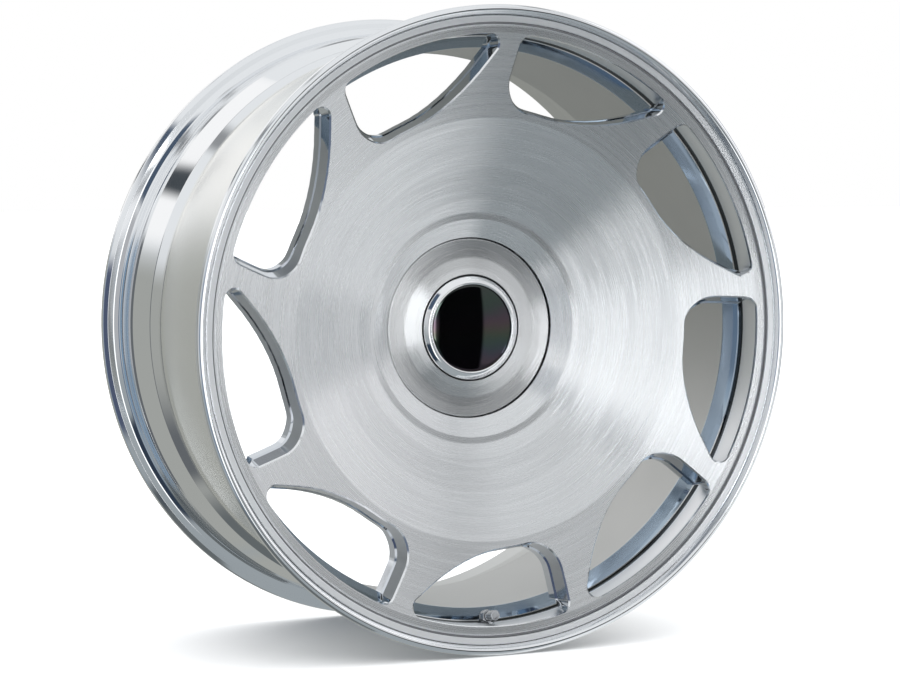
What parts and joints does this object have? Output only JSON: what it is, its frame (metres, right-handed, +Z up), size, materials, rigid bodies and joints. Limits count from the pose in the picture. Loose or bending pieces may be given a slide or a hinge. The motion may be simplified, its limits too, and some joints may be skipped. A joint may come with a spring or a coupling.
{
  "type": "wheel rim",
  "caption": "Deep forged car wheel with a dished brushed face, a ring of swept windows, a polished barrel, a flush centre cap and an air valve.",
  "frame": {"origin": "centre of the wheel: on its axis, midway between the outer edges of the two flanges", "axes": "+Y along the wheel's axis from the face to the back, +Z up with the valve lowest, +X to the right seen from the face"},
  "size_m": [0.5932, 0.2776, 0.5932],
  "materials": {
    "polished_aluminium": "mirror polished",
    "brushed_aluminium": "brushed in circles",
    "seam_sealant": "matt",
    "chrome": "mirror",
    "gloss_black": "high gloss",
    "black_plastic": "fine texture",
    "black_rubber": "matt",
    "steel": "satin",
    "nickel_steel": "satin nickel",
    "brass": "satin"
  },
  "bodies": {
    "wheel": {"barrel": "polished_aluminium", "face_disc": "brushed_aluminium", "seam_ring": "seam_sealant", "lug_seat_1": "steel", "lug_seat_2": "steel", "lug_seat_3": "steel", "lug_seat_4": "steel", "lug_seat_5": "steel", "hub_ring": "black_plastic", "valve_stem": "nickel_steel", "valve_nut": "steel", "valve_washer": "steel", "valve_seal_outer": "black_rubber", "valve_seal_inner": "black_rubber", "valve_core_body": "brass", "valve_core_spring": "steel"},
    "centre_cap": {"cap_plate": "brushed_aluminium", "cap_bezel": "chrome", "cap_disc": "gloss_black", "cap_carrier": "black_plastic", "cap_o_ring": "black_rubber", "cap_snap_ring": "steel", "cap_screw_1": "steel", "cap_screw_2": "steel", "cap_screw_3": "steel"},
    "valve_pin": {"valve_core_pin": "brass"},
    "valve_cap_travel": {"valve_cap_seal": "black_rubber"},
    "valve_cap_turn": {"valve_cap": "steel"}
  },
  "joints": [
    {"name": "centre_cap_pull", "type": "slide", "parent": "wheel", "child": "centre_cap", "axis": [0, -1, 0], "range_m": [0, 0.11]},
    {"name": "valve_pin_press", "type": "slide", "parent": "wheel", "child": "valve_pin", "axis": [0, 0.9781, -0.2079], "range_m": [0, 0.0012], "stiffness_N_per_m": 300, "springref_m": -0.002},
    {"name": "valve_cap_travel", "type": "slide", "parent": "wheel", "child": "valve_cap_travel", "axis": [0, -0.9781, 0.2079], "range_m": [0, 0.012]},
    {"name": "valve_cap_turn", "type": "hinge", "parent": "valve_cap_travel", "child": "valve_cap_turn", "pos_m": [0, -0.092, -0.268], "axis": [0, -0.9781, 0.2079], "range_deg": [0, 5450]}
  ],
  "couplings": [
    {"joint": "valve_cap_turn", "follows": "valve_cap_travel", "rad_per_m": 7913.3}
  ]
}
